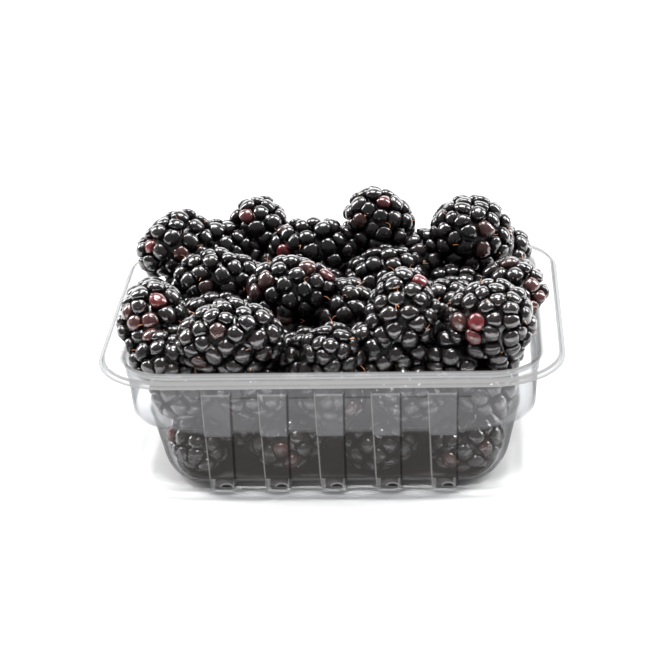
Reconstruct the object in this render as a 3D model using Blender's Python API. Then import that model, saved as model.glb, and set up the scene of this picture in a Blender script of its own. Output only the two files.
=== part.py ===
"""A clear ribbed punnet heaped with dark bramble berries.

Two solids: the thin formed punnet, open at the top, and the heap of berries that fills it and
stands above its rim. The origin is under the middle of the punnet, on the surface it stands on.
X runs along the punnet, Y across it, and Z up.
"""

import math
import random

import bmesh
import bpy
from mathutils import Euler, Matrix, Vector

MM = 0.001

# Punnet: outer sizes in millimetres.
RIM_LENGTH = 143.0
RIM_WIDTH = 114.0
RIM_HEIGHT = 43.5
RIM_CORNER = 22.7
SHEET = 0.5

# Under side of the rim, from its free lip to the top of the wall: inset from the outer edge, and
# drop from the top.
RIM_SECTION = ((0.07, 2.7), (1.4, 2.5), (1.9, 1.1), (2.5, 0.5), (5.8, 0.5), (6.6, 0.9))

# Walls, from the top down: height on the panels, height on the ribs, half length, half width,
# corner radius along X and along Y, and how far a rib stands out from its panel.
WALL_LEVELS = (
    (42.2, 42.2, 64.0, 50.2, 15.5, 17.0, 0.0),
    (37.0, 38.8, 63.7, 49.7, 16.0, 17.0, 0.0),
    (36.1, 37.6, 63.2, 49.1, 16.0, 17.0, 2.2),
    (23.4, 22.2, 62.4, 48.8, 16.5, 18.5, 2.4),
    (22.2, 21.0, 57.8, 47.3, 16.0, 22.0, 2.2),
    (5.2, 3.9, 54.2, 45.0, 13.4, 22.0, 1.9),
    (2.5, 1.2, 52.2, 43.6, 11.8, 20.0, 1.9),
    (1.5, 0.0, 49.6, 41.0, 9.2, 18.0, 1.9),
)
LEDGE_TOP = 3
CORNER_STEPS = 6

# Ribs: upright channels that stand out from the walls and run on under the base as feet.
RIB_PITCH = 17.1
LONG_SIDE_RIBS = 5
SHORT_SIDE_RIBS = 0
RIB_TOP_WIDTH = 9.2
RIB_FOOT_WIDTH = 7.6
RIB_FLANK = 0.6

# Drain holes at the foot of each rib on the long sides.
DRAIN_DIAMETER = 3.3
DRAIN_OFFSET = 1.1
DRAIN_HEIGHT = 1.9
DRAIN_REACH = 5.0
DRAIN_SIDES = 12

# Heap: a core with the berries that show fused on, kept clear of the punnet.
CLEARANCE = 0.35
PRESS_MARGIN = 0.4
CORE_INSET = 5.0
CORE_CORNER_STEPS = 4
CORE_CROWN = ((36.0, 5.0), (41.0, 14.0))

# Berries of the top layer: middle X, Y, Z, length, width, and the way the tip points, as a turn
# about Z and a tilt above level, in degrees.
TOP_BERRIES = (
    (-53.0, 24.0, 54.0, 28.0, 23.5, 205.0, -10.0),
    (-40.5, 30.0, 50.5, 27.0, 20.5, 15.0, 3.0),
    (-27.5, 38.0, 54.5, 22.0, 21.5, 90.0, 65.0),
    (-8.5, 27.0, 51.0, 31.0, 22.0, 175.0, 3.0),
    (13.0, 34.0, 57.0, 27.0, 24.0, 200.0, 65.0),
    (42.5, 28.0, 54.5, 29.0, 28.5, 235.0, 40.0),
    (54.0, 35.0, 45.5, 23.0, 19.0, 60.0, 10.0),
    (-37.5, 6.0, 49.5, 31.0, 20.5, 350.0, 5.0),
    (-56.5, -22.0, 46.0, 30.0, 22.0, 250.0, -50.0),
    (-31.0, -35.5, 47.5, 34.0, 24.0, 185.0, 0.0),
    (-13.5, -6.0, 50.0, 31.0, 24.0, 345.0, 15.0),
    (15.5, 14.0, 46.0, 28.0, 22.0, 170.0, -5.0),
    (22.0, -28.0, 49.5, 33.0, 24.5, 80.0, 70.0),
    (49.0, -31.0, 50.0, 29.0, 27.5, 320.0, 35.0),
    (57.5, 2.0, 45.0, 27.0, 21.0, 300.0, -25.0),
    (0.5, -37.5, 42.5, 22.0, 21.0, 270.0, 35.0),
    (4.0, -11.0, 46.0, 22.0, 20.0, 90.0, 30.0),
    (28.0, 26.0, 48.0, 22.0, 20.0, 80.0, 20.0),
    (35.0, -7.0, 44.0, 25.0, 21.0, 30.0, 10.0),
    (-60.0, 2.0, 42.0, 22.0, 19.0, 90.0, 5.0),
    (-22.0, 33.0, 44.5, 24.0, 20.0, 30.0, 0.0),
)

# Berries against the walls, in two layers below the rim, with one in each corner: height of the
# middle, how many stand between the corners on a long and on a short side, length and width.
WALL_LAYERS = ((11.8, (2, 2), 26.0, 20.0), (31.0, (3, 2), 24.5, 20.0))
WALL_BERRY_GAP = 0.8

# Berries between the walls, level with the rim: rows along X, how many in a row, the two spacings,
# height of the middle, length and width.
MIDDLE_ROWS = 4
MIDDLE_COLUMNS = 5
MIDDLE_PITCH_X = 22.0
MIDDLE_PITCH_Y = 21.0
MIDDLE_HEIGHT = 39.5
MIDDLE_LENGTH = 26.0
MIDDLE_WIDTH = 21.0

# A berry's sides round its axis and along it, in the top layer and below it.
TOP_SIDES = (12, 9)
LOWER_SIDES = (10, 6)
BERRY_TAPER = 0.10
BERRY_BUMP = 0.035
HEAP_SEED = 11


def material(name, colour, roughness, alpha=1.0):
    """A Principled material of one colour."""
    made = bpy.data.materials.new(name)
    made.use_nodes = True
    shader = made.node_tree.nodes["Principled BSDF"]
    shader.inputs["Base Color"].default_value = (*colour, 1.0)
    shader.inputs["Roughness"].default_value = roughness
    shader.inputs["Metallic"].default_value = 0.0
    shader.inputs["Alpha"].default_value = alpha
    return made


def add_object(name, mesh_builder, collection=None):
    """A named object from a bmesh drawn in millimetres."""
    bmesh.ops.scale(mesh_builder, verts=mesh_builder.verts, vec=(MM, MM, MM))
    mesh = bpy.data.meshes.new(name)
    mesh_builder.to_mesh(mesh)
    mesh_builder.free()
    made = bpy.data.objects.new(name, mesh)
    (collection or bpy.context.scene.collection).objects.link(made)
    return made


def rib_places(count):
    """Middles of the ribs on one side, spread evenly about its middle."""
    return [(index - (count - 1) / 2) * RIB_PITCH for index in range(count)]


def wall_stations():
    """Stations round the wall, anticlockwise from the front left.

    A straight station is (side, rib middle, which edge, on the rib) and a corner station is
    (side, angle). Sides 0 to 3 are front, right, back and left.
    """
    stations = []
    for side in range(4):
        count = LONG_SIDE_RIBS if side % 2 == 0 else SHORT_SIDE_RIBS
        for middle in rib_places(count):
            for edge, on_rib in ((-1, False), (-1, True), (1, True), (1, False)):
                stations.append((side, middle, edge, on_rib))
        for step in range(CORNER_STEPS + 1):
            stations.append((side, math.pi / 2 * step / CORNER_STEPS))
    return stations


def side_point(side, along, half_length, half_width, out, height):
    """A point on a straight side, counted along it in the anticlockwise direction."""
    places = (
        (along, -half_width - out),
        (half_length + out, along),
        (-along, half_width + out),
        (-half_length - out, -along),
    )
    return Vector((*places[side], height))


def corner_point(side, angle, half_length, half_width, radius_x, radius_y, height):
    """A point on the rounded corner that follows a side."""
    turn = math.pi / 2 * (side - 1) + angle
    signs = ((1, -1), (1, 1), (-1, 1), (-1, -1))[side]
    return Vector((
        signs[0] * (half_length - radius_x) + radius_x * math.cos(turn),
        signs[1] * (half_width - radius_y) + radius_y * math.sin(turn),
        height,
    ))


def rib_half_width(height):
    """Half the width of a rib at a height, as it narrows towards its foot."""
    share = height / RIM_HEIGHT
    return (RIB_FOOT_WIDTH + (RIB_TOP_WIDTH - RIB_FOOT_WIDTH) * share) / 2


def wall_loop(level):
    """The points of one level of the wall, at every station."""
    panel_height, rib_height, half_length, half_width, radius_x, radius_y, rib_depth = level
    points = []
    for station in wall_stations():
        if len(station) == 2:
            points.append(corner_point(*station, half_length, half_width, radius_x, radius_y, panel_height))
            continue
        side, middle, edge, on_rib = station
        half = rib_half_width(rib_height) + (0.0 if on_rib else RIB_FLANK)
        out = rib_depth if on_rib else 0.0
        height = rib_height if on_rib else panel_height
        if side % 2 == 1 and level == WALL_LEVELS[-1]:
            out, height = 0.0, panel_height
        points.append(side_point(side, middle + edge * half, half_length, half_width, out, height))
    return points


def rim_levels():
    """The levels of the rim section, in the form of the wall's levels."""
    levels = []
    for inset, drop in RIM_SECTION:
        height = RIM_HEIGHT - drop
        radius = RIM_CORNER - inset
        levels.append((height, height, RIM_LENGTH / 2 - inset, RIM_WIDTH / 2 - inset, radius, radius, 0.0))
    return levels


def add_base(mesh_builder, foot_loop):
    """The base: strips from the front feet to the back feet, with a flat end at each side."""
    per_long_side = 4 * LONG_SIDE_RIBS
    half_way = len(foot_loop) // 2
    front = foot_loop[:per_long_side]
    back = foot_loop[half_way:half_way + per_long_side]
    for index in range(per_long_side - 1):
        opposite = per_long_side - 1 - index
        strip = (front[index + 1], front[index], back[opposite], back[opposite - 1])
        mesh_builder.faces.new(strip)
    right_end = foot_loop[per_long_side - 1:half_way + 1]
    left_end = foot_loop[half_way + per_long_side - 1:] + foot_loop[:1]
    for end in (right_end, left_end):
        mesh_builder.faces.new(list(reversed(end)))


def punnet_sheet():
    """The punnet's outer skin as one open sheet, from the rim's lip to the base."""
    mesh_builder = bmesh.new()
    previous = None
    for level in rim_levels() + list(WALL_LEVELS):
        loop = [mesh_builder.verts.new(point) for point in wall_loop(level)]
        if previous:
            for index, corner in enumerate(loop):
                after = (index + 1) % len(loop)
                mesh_builder.faces.new((previous[index], corner, loop[after], previous[after]))
        previous = loop
    add_base(mesh_builder, previous)
    return mesh_builder


def drain_cutters():
    """Round cutters through the lower bend of each rib on the two long sides."""
    mesh_builder = bmesh.new()
    foot = WALL_LEVELS[-2]
    for turned in (False, True):
        for middle in rib_places(LONG_SIDE_RIBS):
            place = Vector((middle + DRAIN_OFFSET, -foot[3] - foot[6], DRAIN_HEIGHT))
            aim = Matrix.Translation(place) @ Matrix.Rotation(math.radians(-50), 4, "X")
            if turned:
                aim = Matrix.Rotation(math.pi, 4, "Z") @ aim
            bmesh.ops.create_cone(
                mesh_builder, cap_ends=True, segments=DRAIN_SIDES, radius1=DRAIN_DIAMETER / 2,
                radius2=DRAIN_DIAMETER / 2, depth=DRAIN_REACH, matrix=aim)
    cutter = add_object("drain_cutters", mesh_builder)
    cutter.display_type = "WIRE"
    cutter.hide_render = True
    return cutter


def build_punnet():
    """The thin clear punnet."""
    punnet = add_object("punnet", punnet_sheet())
    punnet.data.materials.append(material("clear_plastic", (0.92, 0.93, 0.95), 0.06, 0.25))
    shell = punnet.modifiers.new("sheet", "SOLIDIFY")
    shell.thickness = SHEET * MM
    shell.offset = -1.0
    drains = punnet.modifiers.new("drains", "BOOLEAN")
    drains.operation = "DIFFERENCE"
    drains.object = drain_cutters()
    return punnet


def core_ring(level, inset, height):
    """A plain rounded ring inside the panels at one level of the wall."""
    ring = []
    for side in range(4):
        for step in range(CORE_CORNER_STEPS + 1):
            angle = math.pi / 2 * step / CORE_CORNER_STEPS
            ring.append(corner_point(
                side, angle, level[2] - inset, level[3] - inset,
                max(level[4] - inset, 4.0), max(level[5] - inset, 4.0), height))
    return ring


def heap_core():
    """The plain middle of the heap, which fills the punnet under the berries that show."""
    mesh_builder = bmesh.new()
    floor = WALL_LEVELS[-1][0] + SHEET + CLEARANCE
    rings = [core_ring(WALL_LEVELS[-2], CORE_INSET, floor)]
    for level in (WALL_LEVELS[5], WALL_LEVELS[4], WALL_LEVELS[3]):
        rings.append(core_ring(level, CORE_INSET, level[0]))
    for height, inset in CORE_CROWN:
        rings.append(core_ring(WALL_LEVELS[1], inset, height))
    loops = [[mesh_builder.verts.new(point) for point in ring] for ring in rings]
    for lower, upper in zip(loops, loops[1:]):
        for index in range(len(lower)):
            after = (index + 1) % len(lower)
            mesh_builder.faces.new((lower[index], lower[after], upper[after], upper[index]))
    mesh_builder.faces.new(list(reversed(loops[0])))
    mesh_builder.faces.new(loops[-1])
    return mesh_builder


def wall_at(height):
    """Half length, half width and corner radii of the panels at a height, inside the ledge."""
    levels = WALL_LEVELS[:LEDGE_TOP] + WALL_LEVELS[LEDGE_TOP + 1:]
    if height >= levels[0][0]:
        return list(levels[0][2:6])
    for upper, lower in zip(levels, levels[1:]):
        if lower[0] <= height:
            share = (height - lower[0]) / (upper[0] - lower[0])
            return [low + (high - low) * share for low, high in zip(lower[2:6], upper[2:6])]
    return list(levels[-1][2:6])


def point_along(half_length, half_width, radius, distance):
    """A point, and its direction of travel, a distance along a rounded rectangle."""
    runs = (2 * (half_length - radius), 2 * (half_width - radius)) * 2
    bend = math.pi / 2 * radius
    for side, run in enumerate(runs):
        if distance <= run:
            point = side_point(side, distance - run / 2, half_length, half_width, 0.0, 0.0)
            return point, math.pi / 2 * side
        distance -= run
        if distance <= bend:
            angle = distance / radius
            point = corner_point(side, angle, half_length, half_width, radius, radius, 0.0)
            return point, math.pi / 2 * side + angle
        distance -= bend
    return point_along(half_length, half_width, radius, distance)


def middle_berries(draw):
    """Places of the berries between the walls, in the form of the top berries."""
    berries = []
    for row in range(MIDDLE_ROWS):
        stagger = 0.25 if row % 2 else -0.25
        for column in range(MIDDLE_COLUMNS):
            x = (column - (MIDDLE_COLUMNS - 1) / 2 + stagger) * MIDDLE_PITCH_X + draw.uniform(-2, 2)
            y = (row - (MIDDLE_ROWS - 1) / 2) * MIDDLE_PITCH_Y + draw.uniform(-1.5, 1.5)
            z = MIDDLE_HEIGHT + draw.uniform(-1.5, 2.0)
            turn = draw.uniform(0, 360)
            berries.append((x, y, z, MIDDLE_LENGTH, MIDDLE_WIDTH, turn, draw.uniform(-25, 25)))
    return berries


def ring_stops(half_length, half_width, radius, between):
    """Distances along a rounded rectangle: one in each corner, and some evenly between them."""
    bend = math.pi / 2 * radius
    start = -bend / 2
    stops = []
    for side in range(4):
        run = 2 * ((half_width if side % 2 else half_length) - radius)
        count = between[side % 2]
        stops += [start + (run + bend) * (index + 1) / (count + 1) for index in range(count + 1)]
        start += run + bend
    return stops


def wall_berries(draw):
    """Places of the berries that lie against the walls, in the form of the top berries."""
    berries = []
    for height, between, length, width in WALL_LAYERS:
        low = wall_at(height - width / 4)
        inset = SHEET + CLEARANCE + WALL_BERRY_GAP + width / 2
        half_length, half_width = low[0] - inset, low[1] - inset
        radius = (low[2] + low[3]) / 2 - inset
        for stop in ring_stops(half_length, half_width, radius, between):
            place, heading = point_along(half_length, half_width, radius, stop + draw.uniform(-1.5, 1.5))
            turn = math.degrees(heading) + draw.uniform(-25, 25)
            rise = height + draw.uniform(-0.8, 0.8)
            size = draw.uniform(0.94, 1.0)
            tilt = draw.uniform(-25, 25)
            berries.append((place.x, place.y, rise, length * size, width * size, turn, tilt))
    return berries


def kept_inside(point):
    """A point, moved in to the heap's side of the punnet's wall and floor where it lies past them."""
    keep = SHEET + CLEARANCE + PRESS_MARGIN
    height = max(point.z, WALL_LEVELS[-1][0] + keep)
    if height > RIM_HEIGHT + 2 * keep:
        return point
    half_length, half_width, radius_x, radius_y = wall_at(height)
    half_length -= keep
    half_width -= keep
    past_x = (abs(point.x) - half_length + radius_x) / radius_x
    past_y = (abs(point.y) - half_width + radius_y) / radius_y
    x = min(abs(point.x), half_length)
    y = min(abs(point.y), half_width)
    if past_x > 0 and past_y > 0 and math.hypot(past_x, past_y) > 1:
        reach = math.hypot(past_x, past_y)
        x = half_length - radius_x + radius_x * past_x / reach
        y = half_width - radius_y + radius_y * past_y / reach
    return Vector((math.copysign(x, point.x), math.copysign(y, point.y), height))


def berry(mesh_builder, place, sides):
    """One berry with few sides: an egg, blunt at the stem, bumpy, and pressed flat by the punnet."""
    x, y, z, length, width, turn, tilt = place
    segments, rings = sides
    made = bmesh.ops.create_uvsphere(
        mesh_builder, u_segments=segments, v_segments=rings, radius=0.5)["verts"]
    aim = Euler((0.0, math.radians(90 - tilt), math.radians(turn))).to_matrix()
    for vertex in made:
        round_axis = math.atan2(vertex.co.y, vertex.co.x)
        from_tip = math.acos(max(-1.0, min(1.0, 2 * vertex.co.z)))
        bump = math.cos(round_axis * segments / 2) * math.cos(from_tip * rings)
        girth = width * (1 - BERRY_TAPER * math.cos(from_tip)) * (1 + BERRY_BUMP * bump)
        sized = Vector((vertex.co.x * girth, vertex.co.y * girth, vertex.co.z * length))
        vertex.co = kept_inside(aim @ sized + Vector((x, y, z)))


def keep_outer_shell(mesh):
    """Drops loose scraps and fills sealed hollows, which leaves the heap's one outer skin."""
    mesh_builder = bmesh.new()
    mesh_builder.from_mesh(mesh)
    unseen = set(mesh_builder.faces)
    shells = []
    while unseen:
        shell = set()
        reach = [next(iter(unseen))]
        while reach:
            face = reach.pop()
            if face in shell:
                continue
            shell.add(face)
            reach.extend(other for edge in face.edges for other in edge.link_faces)
        unseen -= shell
        shells.append(shell)
    shells.sort(key=len)
    scraps = [face for shell in shells[:-1] for face in shell]
    bmesh.ops.delete(mesh_builder, geom=scraps, context="FACES")
    bmesh.ops.triangulate(mesh_builder, faces=mesh_builder.faces)
    mesh_builder.to_mesh(mesh)
    mesh_builder.free()


def build_heap():
    """The heap: the core and the berries that show, joined into one solid."""
    heap = add_object("berry_heap", heap_core())
    loose = bpy.data.collections.new("loose_berries")
    bpy.context.scene.collection.children.link(loose)
    draw = random.Random(HEAP_SEED)
    lower_berries = wall_berries(draw) + middle_berries(draw)
    for sides, places in ((LOWER_SIDES, lower_berries), (TOP_SIDES, TOP_BERRIES)):
        for place in places:
            mesh_builder = bmesh.new()
            berry(mesh_builder, place, sides)
            add_object("loose_berry", mesh_builder, loose)
    join = heap.modifiers.new("join", "BOOLEAN")
    join.operation = "UNION"
    join.operand_type = "COLLECTION"
    join.collection = loose
    joined = bpy.data.meshes.new_from_object(heap.evaluated_get(bpy.context.evaluated_depsgraph_get()))
    heap.modifiers.clear()
    heap.data = joined
    for piece in list(loose.objects):
        bpy.data.objects.remove(piece)
    bpy.data.collections.remove(loose)
    keep_outer_shell(joined)
    joined.materials.clear()
    joined.materials.append(material("berry_skin", (0.012, 0.009, 0.010), 0.25))
    return heap


def clear_scene():
    """Starts from an empty scene."""
    for found in list(bpy.data.objects):
        bpy.data.objects.remove(found)


def main():
    clear_scene()
    build_punnet()
    build_heap()


main()
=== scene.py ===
"""The looks of a clear ribbed punnet heaped with dark bramble berries.

Lengths below are in millimetres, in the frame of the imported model: X along the punnet, Y across
it, Z up, with the origin under its middle. Every finished mesh is scaled to metres.
"""
import math
import random

import bmesh
import bpy
from mathutils import Euler, Matrix, Vector


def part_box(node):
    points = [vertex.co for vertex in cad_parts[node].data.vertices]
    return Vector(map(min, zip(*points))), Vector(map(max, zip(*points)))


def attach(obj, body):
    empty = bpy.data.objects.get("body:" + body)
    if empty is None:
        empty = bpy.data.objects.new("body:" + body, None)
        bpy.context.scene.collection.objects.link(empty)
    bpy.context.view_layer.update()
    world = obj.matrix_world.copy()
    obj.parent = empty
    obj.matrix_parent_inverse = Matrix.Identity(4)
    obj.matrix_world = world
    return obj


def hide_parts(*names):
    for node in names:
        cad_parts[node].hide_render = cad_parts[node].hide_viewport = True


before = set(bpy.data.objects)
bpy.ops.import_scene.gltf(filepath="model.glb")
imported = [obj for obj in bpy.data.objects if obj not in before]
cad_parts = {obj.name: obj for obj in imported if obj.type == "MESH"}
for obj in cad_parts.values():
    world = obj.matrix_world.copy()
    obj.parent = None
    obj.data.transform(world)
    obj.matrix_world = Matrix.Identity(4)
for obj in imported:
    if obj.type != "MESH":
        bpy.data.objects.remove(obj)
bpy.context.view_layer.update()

MM = 0.001

# ---------------- the punnet's sizes

# The rim's length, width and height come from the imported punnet, to a tenth of a millimetre.
RIM_LENGTH, RIM_WIDTH, RIM_HEIGHT = (
    round((high - low) / MM, 1) for low, high in zip(*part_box("punnet")))
RIM_CORNER = 22.7
SHEET = 0.5

# Under side of the rim, from its free lip inwards: inset, drop, and how far its bend reaches.
RIM_SECTION = (
    (0.07, 2.7, 0.0), (1.4, 2.5, 0.45), (1.9, 1.1, 0.5), (2.5, 0.5, 0.4), (5.8, 0.5, 0.4),
    (6.6, 0.9, 0.4),
)

# Walls, from the top down: height on the panels, height on the ribs, half length, half width,
# corner radius along X and along Y, how far a rib stands out, and how far the bend reaches.
WALL_LEVELS = (
    (42.2, 42.2, 64.0, 50.2, 15.5, 17.0, 0.0, 0.6),
    (37.0, 38.8, 63.7, 49.7, 16.0, 17.0, 0.0, 0.5),
    (36.1, 37.6, 63.2, 49.1, 16.0, 17.0, 2.2, 0.5),
    (23.4, 22.2, 62.4, 48.8, 16.5, 18.5, 2.4, 0.7),
    (22.2, 21.0, 57.8, 47.3, 16.0, 22.0, 2.2, 0.7),
    (5.2, 3.9, 54.2, 45.0, 13.4, 22.0, 1.9, 1.4),
    (2.5, 1.2, 52.2, 43.6, 11.8, 20.0, 1.9, 1.0),
    (1.5, 0.0, 49.6, 41.0, 9.2, 18.0, 1.9, 1.2),
    (1.5, 0.0, 45.6, 37.0, 5.2, 14.0, 1.9, 0.0),
)
# Places in that list of the step's outer edge and of the feet's lower bend.
LEDGE_TOP = 3
FOOT = 6

# Bends: steps in each, how much of the run beside it one may take, and steps in a wall's corner.
BEND_STEPS = 4
BEND_ROOM = 0.45
CORNER_STEPS = 14

# What lies below this height is base, how exactly its outline is told, and from what angle in
# degrees an edge is sharp.
BASE_TOP = 2.0
SLACK = 0.01
CREASE = 50.0

# Ribs: upright channels that stand out from the long sides and run on under the base as feet.
RIB_PITCH = 17.1
LONG_SIDE_RIBS = 5
RIB_TOP_WIDTH = 9.2
RIB_FOOT_WIDTH = 7.6
# Across a rib's flank, from the panel to the rib: distance outside the rib's edge, and how much
# of the rib's height is reached there.
FLANK = ((0.9, 0.0), (0.55, 0.05), (0.32, 0.22), (0.10, 0.80), (-0.12, 0.96), (-0.45, 1.0))

# Drain holes at the foot of each rib.
DRAIN_DIAMETER = 3.3
DRAIN_OFFSET = 1.1
DRAIN_HEIGHT = 1.9
DRAIN_REACH = 5.0
DRAIN_TILT = 50.0
DRAIN_SIDES = 24

# ---------------- the sheet's looks

# How much of the upper wall's and of the lip's look, both painted reflection, the sheet has, by
# share of the rim's height.
NONE, FULL = (0.0, 0.0, 0.0), (1.0, 1.0, 1.0)
AT_FOOT, AT_COLLAR, IN_LIP = (0.35, 0.35, 0.35), (0.3, 0.3, 0.3), (0.2, 0.2, 0.2)
UPPER_WALL = (
    (0.0, AT_FOOT), (0.06, AT_FOOT), (0.11, NONE), (0.48, NONE), (0.51, FULL),
)
LIP = (
    (0.884, NONE), (0.889, AT_COLLAR), (0.899, AT_COLLAR), (0.904, NONE), (0.932, NONE),
    (0.936, FULL), (0.944, FULL), (0.947, IN_LIP), (0.954, IN_LIP), (0.959, FULL),
    (0.975, FULL), (0.985, NONE),
)

# The tint of what lies behind each part of the sheet, and the glow over it, which is painted
# reflection: strong on the upper wall, faint on the lower wall, and a bright band on the lip.
# Panels take only a share of the upper wall's glow. The edge tint is for the sheet edge on, and
# also paints the dark lines at the bends.
LOWER_TINT, LOWER_PAINTED_REFLECTION = (0.965, 0.97, 0.975), (0.022, 0.021, 0.020)
UPPER_TINT, UPPER_PAINTED_REFLECTION = (0.965, 0.97, 0.975), (0.085, 0.085, 0.088)
LIP_TINT, LIP_PAINTED_REFLECTION = (0.24, 0.245, 0.25), (0.365, 0.36, 0.355)
EDGE_TINT = (0.03, 0.035, 0.04)
PANEL_SHARE = 0.8

# How fast the sheet darkens as it turns edge on, and from where and how much it shines.
EDGE_POWER = 4.2
GLOSS_START = 0.3
GLOSS_GAIN = 1.45
GLOSS_MOST = 0.25
SHEET_ROUGHNESS = 0.07

# The sheet's faint ripple: scale per metre and detail, then strength and depth in metres.
RIPPLE, RIPPLE_DEPTH = (55.0, 2.0), (0.25, 0.0010)

# Painted highlight lines and painted dark lines at the bends: light along a rib's left edge, its
# top and the step, dark along its right edge and the panels' tops. Those across are given by share
# of the rim's height, as middle and half width. On a panel the step lies higher than on a rib.
# Those along a rib's edges are in millimetres, as half width.
RIB_TOP_LINE = (0.825, 0.012)
PANEL_TOP_LINE = (0.780, 0.010)
STEP_LINE = (0.495, 0.009)
STEP_RISE = 0.028
RIB_EDGE_LINE = 0.45
PAINTED_HIGHLIGHT_LINES, PAINTED_DARK_LINES = 0.45, 0.6
STEP_STRENGTH, PANEL_TOP_STRENGTH = 0.6, 0.7

# Painted highlights round the drain holes, in millimetres: how far outside the hole, half width,
# how much the hole's slant shortens it upwards, and how far out across the punnet they start.
DRAIN_RIM_GAP = 0.25
DRAIN_RIM_LINE = 0.35
DRAIN_RIM_SLANT = 1.3
DRAIN_RIM_START = 42.5

# ---------------- the heap's sizes

# Berries are held inside the punnet: the gap left, how far they still give, and how softly. From
# a little below the rim upwards they are held less and less.
CLEARANCE = 0.35
PRESS_GIVE = 0.3
PRESS_SOFTNESS = 1.5
FREE_START = 2.5
FREE_REACH = 6.0

# The heap's dark core, from the floor up: height and inset from the wall. It spreads over the
# base, and above that it stands well in from the walls. It is painted shade: a near-black stand-in
# for the shaded depth of the heap, and over the base, for the shadow under the heap.
CORE_FOOT = 4.4
CORE_INSET = 13.0
CORE_ROWS = (
    (2.3, 1.8), (3.3, 1.8), (3.8, 2.8), (CORE_FOOT, CORE_INSET), (22.2, CORE_INSET),
    (23.4, CORE_INSET), (31.0, CORE_INSET), (35.0, 20.0),
)
CORE_CORNER_STEPS = 8
CORE_LEAST_RADIUS = 4.0
CORE_SINK = 1.5

# The dark strips that fill the feet, painted shadow under the heap: width, inset from the feet's
# ends, bottom and top.
FOOT_FILL_WIDTH = 5.2
FOOT_FILL_INSET = 1.5
FOOT_FILL_BOTTOM = 0.8
FOOT_FILL_TOP = 2.6

# Berries of the top layer: middle X, Y, Z, length, width, and the way the tip points, as a turn
# about Z and a tilt above level, in degrees.
TOP_BERRIES = (
    (-53.0, 24.0, 54.0, 28.0, 23.5, 205.0, -10.0),
    (-40.5, 30.0, 50.5, 27.0, 20.5, 15.0, 3.0),
    (-27.5, 38.0, 54.5, 22.0, 21.5, 90.0, 65.0),
    (-8.5, 27.0, 51.0, 31.0, 22.0, 175.0, 3.0),
    (13.0, 34.0, 57.0, 27.0, 24.0, 200.0, 65.0),
    (42.5, 28.0, 54.5, 29.0, 28.5, 235.0, 40.0),
    (54.0, 35.0, 45.5, 23.0, 19.0, 60.0, 10.0),
    (-37.5, 6.0, 49.5, 31.0, 20.5, 350.0, 5.0),
    (-56.5, -22.0, 46.0, 30.0, 22.0, 250.0, -50.0),
    (-31.0, -35.5, 47.5, 34.0, 24.0, 185.0, 0.0),
    (-13.5, -6.0, 50.0, 31.0, 24.0, 345.0, 15.0),
    (15.5, 14.0, 46.0, 28.0, 22.0, 170.0, -5.0),
    (22.0, -28.0, 49.5, 33.0, 24.5, 80.0, 70.0),
    (49.0, -31.0, 50.0, 29.0, 27.5, 320.0, 35.0),
    (57.5, 2.0, 45.0, 27.0, 21.0, 300.0, -25.0),
    (0.5, -37.5, 42.5, 22.0, 21.0, 270.0, 35.0),
    (4.0, -11.0, 46.0, 22.0, 20.0, 90.0, 30.0),
    (28.0, 26.0, 48.0, 22.0, 20.0, 80.0, 20.0),
    (35.0, -7.0, 44.0, 25.0, 21.0, 30.0, 10.0),
    (-60.0, 2.0, 42.0, 22.0, 19.0, 90.0, 5.0),
    (-22.0, 33.0, 44.5, 24.0, 20.0, 30.0, 0.0),
)

# Berries that lie lower, in the gaps between those of the top layer, in the same form.
GAP_BERRIES = (
    (-21.0, -20.0, 37.0, 24.0, 20.0, 10.0, 0.0),
    (1.0, -21.5, 36.5, 23.0, 19.5, 165.0, 5.0),
)

# Berries against the walls, in two layers, with one in each corner: height of the middle, how
# many stand between the corners on a long and on a short side, length and width. The gap to the
# wall is less than none, so that they are pressed against it.
WALL_LAYERS = ((11.8, (2, 2), 26.0, 20.0), (31.0, (3, 2), 24.5, 20.0))
WALL_BERRY_GAP = -0.4

# Berries between the walls, in rows level with the rim and on the floor.
ROW_PITCH_X = 22.0
ROW_PITCH_Y = 21.0

MIDDLE_ROWS = 4
MIDDLE_COLUMNS = 5
MIDDLE_HEIGHT = 39.5
MIDDLE_LENGTH = 26.0
MIDDLE_WIDTH = 21.0

FLOOR_ROWS = 3
FLOOR_COLUMNS = 3
FLOOR_HEIGHT = 12.0
FLOOR_LENGTH = 25.0
FLOOR_WIDTH = 19.5

# How far these berries stray from even places: those in rows along X, Y and Z, those against the
# walls along the wall, upwards, in turn and in size, and all of them in tilt. Rows are shifted by
# a share of the pitch, to the one side and the other in turn.
ROW_SHIFT = 0.25
ROW_STRAY_X = (-2.0, 2.0)
ROW_STRAY_Y = (-1.5, 1.5)
ROW_STRAY_Z = (-1.5, 2.0)
WALL_STRAY = (-1.5, 1.5)
WALL_RISE = (-0.8, 0.8)
WALL_TURN = (-25.0, 25.0)
WALL_SIZES = (0.94, 1.0)
TILTS = (-25.0, 25.0)
HEAP_SEED = 11

# How much a berry narrows towards its tip.
BERRY_TAPER = 0.10

# Drupelets: mean distance between their middles on a berry of usual size, the part of it that is
# fixed and the part that grows with the berry, how high and how wide each swells as a share of
# it before its neighbours press it, and from which share of the room they press.
SPACING = 5.15
FIXED_SPACING, GROWING_SPACING = 0.80, 0.20
USUAL_SIZE = 25.0
BEAD_RISE = 0.55
BEAD_SWELL = 0.70
PRESS_START = 0.50
NEIGHBOUR_REACH = 3.2
BEAD_PACKING = 0.866
GOLDEN_ANGLE = math.pi * (3 - math.sqrt(5))

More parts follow.
